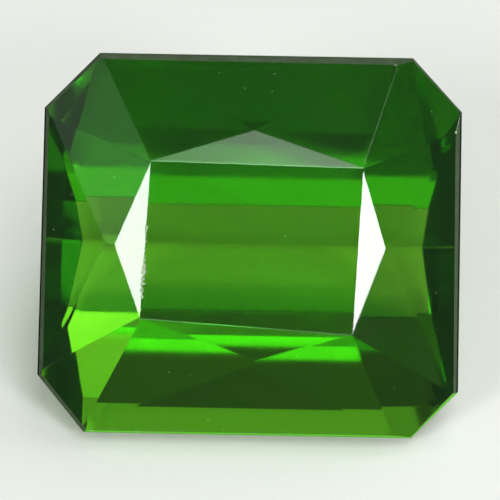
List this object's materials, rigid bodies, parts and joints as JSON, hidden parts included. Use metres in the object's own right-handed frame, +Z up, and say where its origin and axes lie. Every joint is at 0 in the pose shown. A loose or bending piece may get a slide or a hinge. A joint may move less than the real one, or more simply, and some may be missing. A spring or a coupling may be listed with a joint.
{
  "type": "faceted tourmaline",
  "caption": "Loose cut gemstone: cut-corner rectangle with a scissors-cut crown and a step-cut pavilion, lying on one pavilion facet.",
  "frame": {"origin": "centre of the bounding box, on the level that the stone lies on", "axes": "+X along the stone's length and its keel, +Z up, -Y the side that the table faces as it leans back"},
  "size_m": [0.007, 0.0048, 0.0051],
  "materials": {
    "tourmaline": "polished"
  },
  "bodies": {
    "root": {"stone": "tourmaline"}
  },
  "joints": []
}
